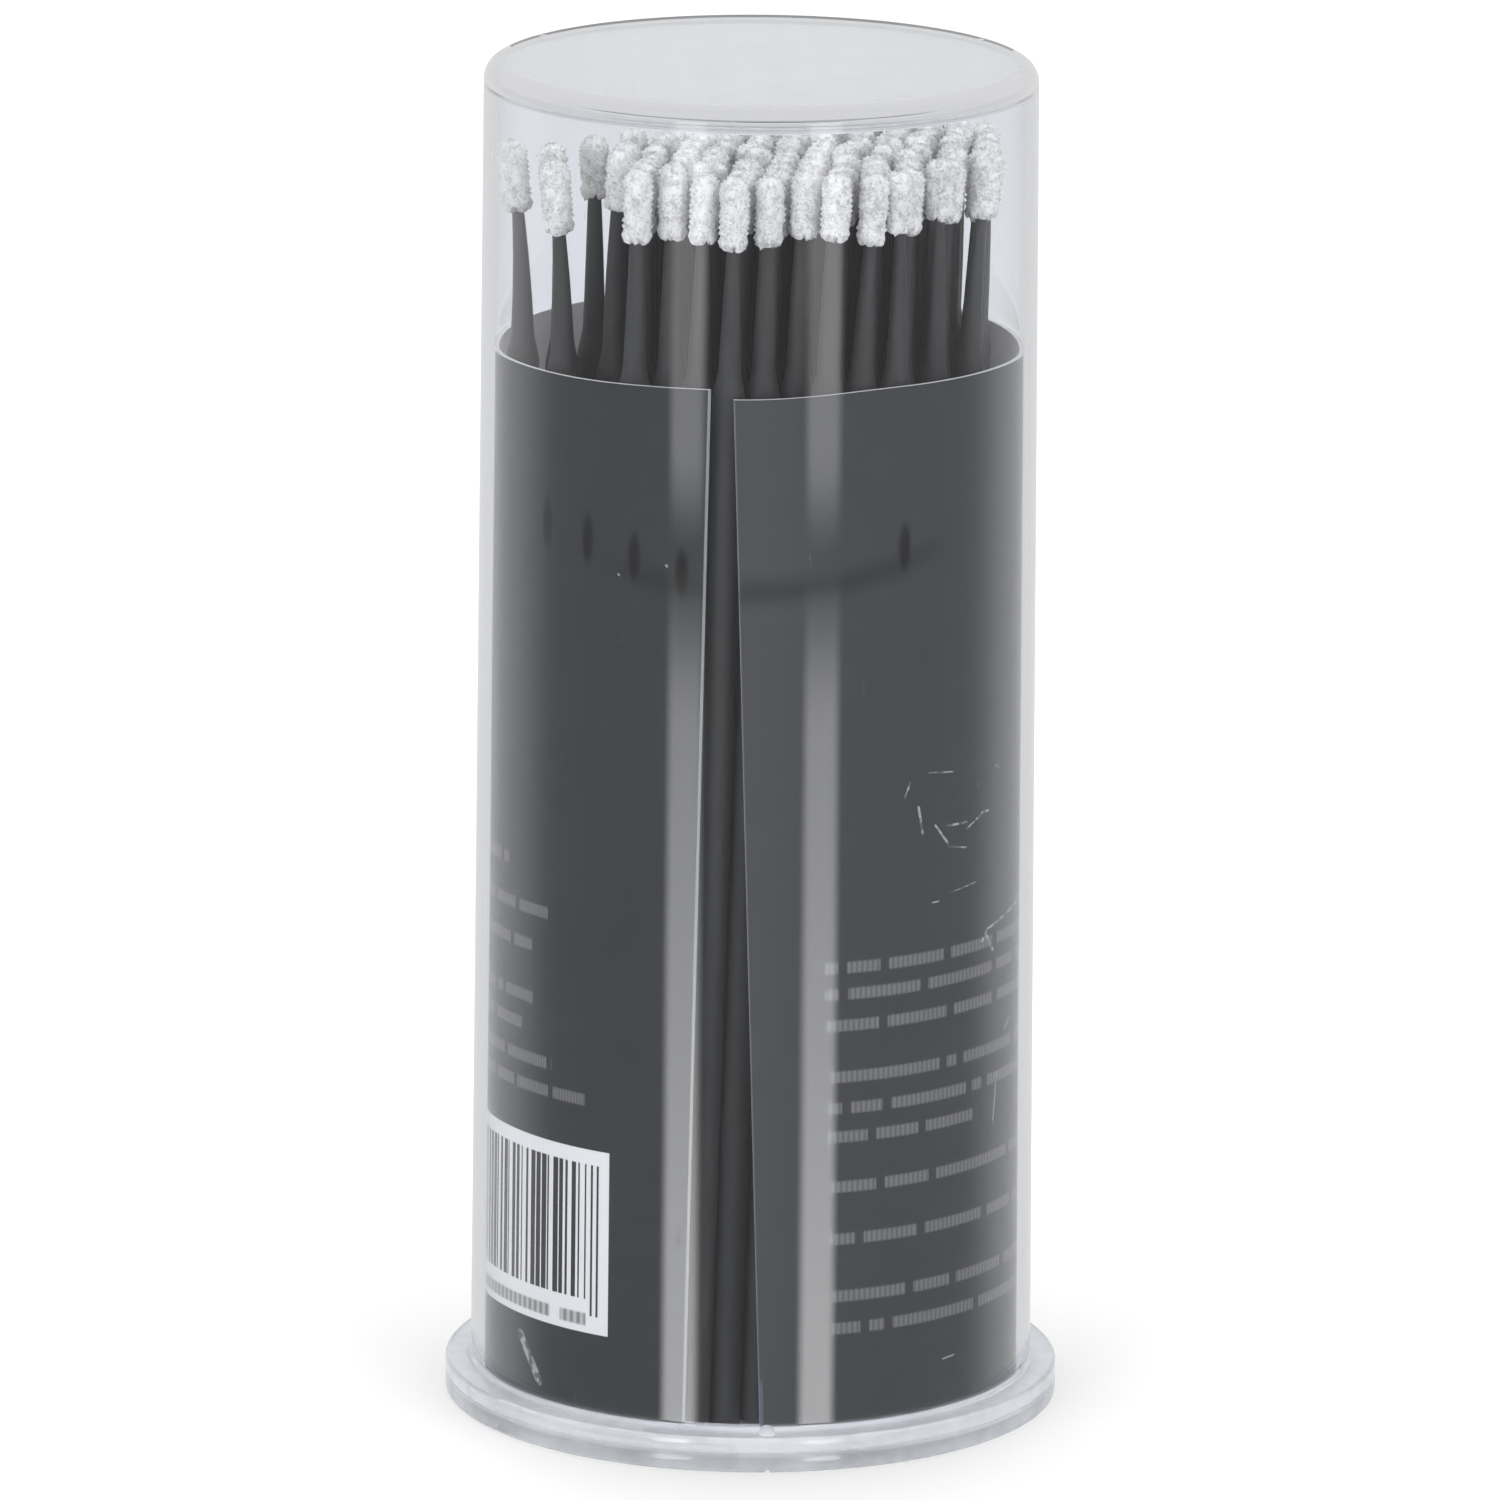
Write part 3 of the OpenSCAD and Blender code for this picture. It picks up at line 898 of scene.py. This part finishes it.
class TUB_OT_stage(bpy.types.Operator):
    """Adds the camera, the pale floor, the soft lamps and the room's light"""

    bl_idname = "applicator_tub.stage"
    bl_label = "Stage"

    def execute(self, context):
        sizes = context.scene.stage_sizes
        aim = Vector((0, 0, sizes.aim_height))
        away = Vector((
            -math.sin(sizes.turn) * math.cos(sizes.elevation),
            -math.cos(sizes.turn) * math.cos(sizes.elevation),
            math.sin(sizes.elevation),
        ))
        clear_selection()
        bpy.ops.object.camera_add(location=aim + away * sizes.distance)
        camera = context.object
        camera.name = "camera"
        facing = (-away).to_track_quat("-Z", "Y") @ Quaternion((0, 0, 1), sizes.roll)
        camera.rotation_euler = facing.to_euler()
        camera.data.lens = sizes.lens
        camera.data.shift_x = sizes.shift_x
        camera.data.shift_y = sizes.shift_y
        camera.data.clip_start = 0.01
        context.scene.camera = camera

        floor = start_from(
            bpy.ops.mesh.primitive_plane_add,
            size=sizes.floor_size, location=(0, 0, -sizes.floor_drop),
        )
        named(floor, "floor")
        bpy.ops.mesh.subdivide(number_cuts=7)
        close_edit()
        dress(floor, floor_finish(sizes))
        floor.visible_glossy = False

        self.add_strips(context, sizes)
        self.add_soft_lamps(context, aim)
        self.add_room(context, sizes)
        context.scene.view_settings.view_transform = "Standard"
        for limit in (
            "max_bounces", "glossy_bounces", "transmission_bounces", "transparent_max_bounces",
        ):
            setattr(context.scene.cycles, limit, sizes.bounces)
        return {"FINISHED"}

    def add_lamp(self, context, name, place, target, width, height, level, in_gloss):
        """An area lamp whose level is its radiance."""
        clear_selection()
        bpy.ops.object.light_add(type="AREA", location=place)
        lamp = context.object
        lamp.name = name
        lamp.data.shape = "RECTANGLE"
        lamp.data.size = width
        lamp.data.size_y = height
        lamp.data.energy = level * math.pi * width * height
        lamp.rotation_euler = (target - place).to_track_quat("-Z", "Y").to_euler()
        lamp.visible_camera = False
        lamp.visible_transmission = False
        lamp.visible_glossy = in_gloss
        return lamp

    def add_strips(self, context, sizes):
        """The two pairs of strip lamps that the wall mirrors as upright bands."""
        for side, start, end in (("left", -37.8, -19.6), ("right", 17.4, 35.6)):
            middle = math.radians((start + end) / 2) - sizes.turn
            width = math.radians(end - start) * sizes.strip_distance
            for part, low, high, level, fades in (
                ("lower", -0.1712, -0.0485, sizes.strip_level, (0.001, 0.024, sizes.strip_dim)),
                ("upper", -0.0495, 0.3, sizes.strip_upper_level, (0.0155, 0.02, 1.0)),
            ):
                height = (low + high) / 2
                spot = Vector((math.sin(middle), -math.cos(middle), 0)) * sizes.strip_distance
                place = spot + Vector((0, 0, height))
                lamp = self.add_lamp(
                    context, f"strip_{side}_{part}", place, Vector((0, 0, height)),
                    width, high - low, level, True,
                )
                self.soften_strip(lamp, middle, math.radians(end - start) / 2, low, high, *fades)

    def soften_strip(self, lamp, middle, half, low, high, fade_in, fade_out, dim):
        """Softens a strip's sides and ends, and lets a lower strip grow dimmer upwards."""
        lamp.data.use_nodes = True
        glow = Finish("strip_glow", lamp.data.node_tree)
        x, y, z = glow.split(glow.node("ShaderNodeNewGeometry", output="Position"))
        aside = abs(x.heading(y * -1.0) - middle)
        strength = (
            aside.ramp(0.45 * half, half, 1.0, 0.0)
            * z.ramp(low, low + fade_in) * z.ramp(high - fade_out, high, 1.0, 0.0)
            * z.ramp(-0.18, -0.05, 1.0, dim)
        )
        glow.end(
            glow.node("ShaderNodeEmission", None, {"Strength": strength}), "ShaderNodeOutputLight",
        )

    def add_soft_lamps(self, context, aim):
        """Broad lamps that lift the room's light to a plain level."""
        for name, place, width, level in (
            ("soft_top", Vector((0.0, 0.1, 1.1)), 1.2, 2.0),
            ("soft_left", Vector((-0.9, -0.8, 0.6)), 0.9, 1.55),
            ("soft_right", Vector((0.9, -0.8, 0.6)), 0.9, 1.55),
            ("soft_back", Vector((0.0, 1.1, 0.6)), 0.9, 0.9),
        ):
            self.add_lamp(context, name, place, aim, width, width, level, False)

    def add_room(self, context, sizes):
        """White round the object for the camera and through plastic, and dimmer in front."""
        world = context.scene.world or bpy.data.worlds.new("room")
        context.scene.world = world
        world.use_nodes = True
        room = Finish("room", world.node_tree)
        behind = room.split(room.node("ShaderNodeTexCoord", output="Generated"))[1]
        level = behind.ramp(0.05, 0.5, sizes.front_level, sizes.rear_level)
        through = room.ray("Is Transmission Ray")
        turned = room.ray("Glossy Depth") > 0.5
        gloss = room.ray("Is Glossy Ray").most(through * turned)
        shown = room.ray("Is Camera Ray").most(through * (1 - turned))
        strength = shown + (1 - shown) * (gloss * level + (1 - gloss) * sizes.room_level)
        room.end(
            room.node("ShaderNodeBackground", None, {"Color": WHITE, "Strength": strength}),
            "ShaderNodeOutputWorld",
        )


class TUB_OT_tub(bpy.types.Operator):
    """Turns the thin drafted tub with its flange and gate mark"""

    bl_idname = "applicator_tub.tub"
    bl_label = "Clear tub"

    def execute(self, context):
        sizes = context.scene.tub_sizes
        tub = revolve("clear_tub", tub_points(sizes), sizes.sides)
        flange_top = sizes.lid_thickness + sizes.flange_thickness
        foot = wall_radius(sizes, sizes.flange_thickness) + sizes.foot_fillet
        place = (0, -foot - sizes.gate_radius / 2, flange_top)
        gate = start_from(
            bpy.ops.mesh.primitive_uv_sphere_add,
            segments=32, ring_count=16, radius=sizes.gate_radius, location=place,
        )
        resize(1, 1, sizes.gate_swell, place)
        close_edit()
        combine(tub, gate, "UNION")
        smooth(tub)
        dress(tub, clear_finish("clear_tub_plastic", sizes, context.scene.stage_sizes.deepest))
        seat(tub, TUB_BODY, ["tub"])
        return {"FINISHED"}


class TUB_OT_lid(bpy.types.Operator):
    """Turns the press-in lid with its plug ring and cuts its thumb notch"""

    bl_idname = "applicator_tub.lid"
    bl_label = "Lid"

    def execute(self, context):
        sizes = context.scene.tub_sizes
        lid = revolve("clear_lid", lid_points(sizes), sizes.sides)
        edge = sizes.mouth_radius + sizes.flange_width
        place = (0, -edge, 0)
        notch = start_from(bpy.ops.mesh.primitive_cube_add, size=1, location=place)
        resize(sizes.notch_width, 2 * sizes.notch_depth, 2 * sizes.notch_height, place)
        select_where(notch, "VERT", lambda co: co.z > 0)
        resize(sizes.notch_point, 1, 1, place)
        close_edit()
        combine(lid, notch, "DIFFERENCE")
        smooth(lid)
        dress(lid, clear_finish("clear_lid_plastic", sizes, context.scene.stage_sizes.deepest))
        seat(lid, LID_BODY, ["lid"])
        return {"FINISHED"}


class TUB_OT_sheet(bpy.types.Operator):
    """Rolls the printed sheet inside the wall and opens the gap between its ends"""

    bl_idname = "applicator_tub.sheet"
    bl_label = "Rolled sheet"

    def execute(self, context):
        tub = context.scene.tub_sizes
        sizes = context.scene.sheet_sizes
        foot = tub.plug_height + sizes.lift
        crown = foot + sizes.height
        section = []
        for height, layer in ((foot, 1), (foot, 0), (crown, 0), (crown, 1), (foot, 1)):
            radius = bore_radius(tub, height) - sizes.clearance - layer * sizes.thickness
            section.append((radius, height + tub.lid_thickness))
        sheet = revolve("rolled_sheet", section, tub.sides)
        self.cut_gap(tub, sizes, sheet)
        smooth(sheet)
        self.paint(sheet, sizes)
        seat(sheet, TUB_BODY, ["label"])
        return {"FINISHED"}

    def cut_gap(self, tub, sizes, sheet):
        """Cuts the V between the sheet's ends with a wedge as tall as the sheet."""
        low = tub.lid_thickness + tub.plug_height + sizes.lift
        depth = tub.mouth_radius
        middle = (sizes.gap_bottom_place, -depth / 2 - sizes.thickness, low + sizes.height / 2)
        wedge = start_from(bpy.ops.mesh.primitive_cube_add, size=1, location=middle)
        resize(sizes.gap_bottom, depth, sizes.height, middle)
        select_where(wedge, "VERT", lambda co: co.z > 0)
        resize(sizes.gap_top / sizes.gap_bottom, 1, 1, middle)
        move(sizes.gap_top_place - sizes.gap_bottom_place, 0, 0)
        bpy.ops.mesh.select_all(action="SELECT")
        resize(1, 1, 1.0001, middle)
        close_edit()
        combine(sheet, wedge, "DIFFERENCE")
        crown = low + sizes.height
        for side, rise in ((1, -sizes.gap_sag), (-1, sizes.gap_rise)):
            corner = sizes.gap_top_place + side * sizes.gap_top / 2
            edit(sheet)
            select_where(sheet, "VERT", lambda co: (
                co.y < 0 and co.z > crown - 0.1 * MM and abs(co.x - corner) < 0.1 * MM
            ))
            move(
                0, 0, rise, use_proportional_edit=True, use_proportional_connected=True,
                proportional_edit_falloff="SMOOTH", proportional_size=sizes.gap_reach,
            )
        close_edit()

    def paint(self, sheet, sizes):
        """Gives the outer face, the inner face and the cut edges their finishes."""
        inside = card_finish("sheet_inside", sizes.inner_colour)
        dress(sheet, sheet_finish(sizes), inside, card_finish("sheet_edge", sizes.edge_colour))
        for slot, test in (
            (1, lambda middle, normal: self.outward(middle, normal) < -0.7),
            (2, lambda middle, normal: abs(self.outward(middle, normal)) <= 0.7),
        ):
            edit(sheet)
            select_where(sheet, "FACE", test)
            sheet.active_material_index = slot
            bpy.ops.object.material_slot_assign()
        close_edit()

    @staticmethod
    def outward(middle, normal):
        """How far a face looks away from the tub's axis."""
        return Vector((middle.x, middle.y, 0)).normalized().dot(normal)


class TUB_OT_handles(bpy.types.Operator):
    """Turns one tapered handle and stands a copy at each place of the bundle"""

    bl_idname = "applicator_tub.handles"
    bl_label = "Handles"

    def execute(self, context):
        sizes = context.scene.applicator_sizes
        masters = [self.model_handle(sizes, sway) for sway in sways(sizes)]
        finish = handle_finish(sizes)
        rows = [
            (node, stand_copies(
                [(masters[kind], place) for place, kind in stands(node, seed)],
                node.replace("handle", "dressed_handle"),
            ))
            for seed, node in enumerate(HANDLE_NODES)
        ]
        finish_rows(rows, finish, masters)
        return {"FINISHED"}

    def model_handle(self, sizes, sway):
        """Turns a handle and moves the rings of its neck aside, further towards the head."""
        neck = sizes.shoulder_height + sizes.shoulder_length
        head_foot = sizes.length - sizes.head_length
        narrowing = sizes.tip_radius - sizes.neck_radius
        taper = [
            (sizes.neck_radius + narrowing * share * (1.1 - 0.1 * share),
             neck + (head_foot - neck) * share)
            for share in (0.3, 0.6, 0.85)
        ]
        master = revolve("handle", [
            (0, 0), (sizes.foot_radius - sizes.foot_bevel, 0),
            (sizes.foot_radius, sizes.foot_bevel), (sizes.grip_radius, sizes.grip_height),
            (sizes.shoulder_radius, sizes.shoulder_height),
            (sizes.shoulder_radius * 0.93, sizes.shoulder_height + 0.25 * sizes.shoulder_length),
            (sizes.neck_radius * 1.1, sizes.shoulder_height + 0.75 * sizes.shoulder_length),
            (sizes.neck_radius, neck), *taper,
            (sizes.tip_radius, head_foot), (sizes.tip_radius * 0.9, sizes.pin_top),
            (0, sizes.pin_top),
        ], sizes.sides)
        for ring in [height for _, height in taper] + [head_foot, sizes.pin_top]:
            edit(master)
            select_where(master, "VERT", lambda co: abs(co.z - ring) < 0.01 * MM)
            spread = 1 + (sizes.neck_spread - 1) * min(1, (ring - neck) / (head_foot - neck))
            if sway < sizes.loose_sway:
                resize(1, spread, 1, (0, 0, ring))
            move(aside_at(sizes, ring, sway), 0, 0)
        close_edit()
        smooth(master)
        return master


class TUB_OT_heads(bpy.types.Operator):
    """Models one lumpy flocked head and sets a copy on the neck of each applicator"""

    bl_idname = "applicator_tub.heads"
    bl_label = "Flocked heads"

    def execute(self, context):
        sizes = context.scene.applicator_sizes
        masters = [self.model_head(sizes, seed) for seed in (3, 8, 21, 34)]
        finish = flock_finish(sizes)
        rows = []
        for seed, node in enumerate(HEAD_NODES):
            draws = random.Random(100 + seed)
            pairs = [
                (draws.choice(masters), place @ self.seat_head(sizes, kind, draws))
                for place, kind in stands(node.replace("head", "handle"), seed)
            ]
            rows.append((node, stand_copies(pairs, node.replace("head", "dressed_head"))))
        finish_rows(rows, finish, masters)
        return {"FINISHED"}

    def seat_head(self, sizes, kind, draws):
        """Sets a head on the end of its neck, turned at random and longer or shorter."""
        sway = sways(sizes)[kind]
        share = draws.uniform(sizes.shortest_head, sizes.longest_head)
        shift = draws.uniform(-sizes.head_shift, sizes.head_shift)
        foot = sizes.length - sizes.head_length * share + shift
        aside = aside_at(sizes, foot, sway)
        tilt = math.atan2(aside_at(sizes, sizes.length, sway) - aside, sizes.length - foot)
        return (
            Matrix.Translation((aside, 0, foot)) @ Matrix.Rotation(tilt, 4, "Y")
            @ Matrix.Rotation(draws.uniform(0, math.tau), 4, "Z")
            @ Matrix.Scale(share, 4, (0, 0, 1))
        )

    def model_head(self, sizes, seed):
        """A ball drawn out along the neck, made lumpy, tufted and frayed."""
        radius = sizes.head_radius
        head = start_from(
            bpy.ops.mesh.primitive_uv_sphere_add,
            segments=20, ring_count=10, radius=radius, location=(0, 0, 0),
        )
        named(head, "head_master")
        select_where(head, "VERT", lambda co: co.z < -0.01 * MM)
        resize(1, 1, 0.35, (0, 0, 0))
        move(0, 0, -(sizes.head_length - 1.35 * radius))
        select_where(head, "EDGE", lambda a, b: abs(a.z - b.z) > sizes.head_length / 2)
        bpy.ops.mesh.subdivide(number_cuts=8)
        bpy.ops.mesh.select_all(action="SELECT")
        move(0, 0, sizes.head_length - radius)
        close_edit()
        self.add_lumps(head, sizes, seed)
        self.add_fray(head, sizes, seed)
        self.add_tufts(head, sizes, seed)
        pick(head)
        bpy.ops.object.shade_smooth()
        return head

    def add_lumps(self, head, sizes, seed):
        """Pushes the flock in and out with soft noise."""
        clouds = bpy.data.textures.new("flock_lumps", "CLOUDS")
        clouds.noise_scale = 0.8 * MM
        clouds.noise_depth = 2
        pick(head)
        move(seed * MM, 0, 0)
        apply_modifier(
            head, "DISPLACE", texture=clouds, texture_coords="GLOBAL",
            strength=sizes.lump_height, mid_level=0.33,
        )
        move(-seed * MM, 0, 0)

    def add_fray(self, head, sizes, seed):
        """Draws single tufts at the lower edge down along the neck."""
        edge = sizes.head_radius * 0.5
        select_where(
            head, "VERT",
            lambda co: co.z < 0.3 * MM and Vector(co[:2]).length > edge and drawn(co, seed, 0.45),
        )
        move(0, 0, -sizes.fray_length)
        close_edit()

    def add_tufts(self, head, sizes, seed):
        """Raises random faces into small points."""
        edit(head)
        select_where(head, "FACE", lambda middle, normal: drawn(middle, seed, 0.55))
        bpy.ops.mesh.poke(offset=sizes.fibre_length)
        close_edit()


class TUB_PT_sidebar(bpy.types.Panel):
    """Lists the pieces of the tub of applicators"""

    bl_label = "Applicator tub"
    bl_idname = "TUB_PT_sidebar"
    bl_space_type = "VIEW_3D"
    bl_region_type = "UI"
    bl_category = "Applicator tub"

    def draw(self, context):
        for operator in OPERATORS:
            self.layout.operator(operator.bl_idname)
        for name in SETTINGS:
            group = getattr(context.scene, name)
            box = self.layout.box()
            for key in group.__annotations__:
                box.prop(group, key)


SETTINGS = {
    "tub_sizes": TubSizes,
    "sheet_sizes": SheetSizes,
    "applicator_sizes": ApplicatorSizes,
    "stage_sizes": StageSizes,
}
OPERATORS = (TUB_OT_stage, TUB_OT_tub, TUB_OT_lid, TUB_OT_sheet, TUB_OT_handles, TUB_OT_heads)


def register():
    for group in (*SETTINGS.values(), *OPERATORS, TUB_PT_sidebar):
        bpy.utils.register_class(group)
    for name, group in SETTINGS.items():
        setattr(bpy.types.Scene, name, PointerProperty(type=group))


def unregister():
    for name in SETTINGS:
        delattr(bpy.types.Scene, name)
    for group in (TUB_PT_sidebar, *OPERATORS, *SETTINGS.values()):
        bpy.utils.unregister_class(group)


def main():
    """Builds every piece."""
    register()
    for operator in OPERATORS:
        group, name = operator.bl_idname.split(".")
        if "FINISHED" not in getattr(getattr(bpy.ops, group), name)():
            raise RuntimeError(f"{operator.bl_label} wasn't finished")
    clear_selection()


if __name__ == "__main__":
    main()
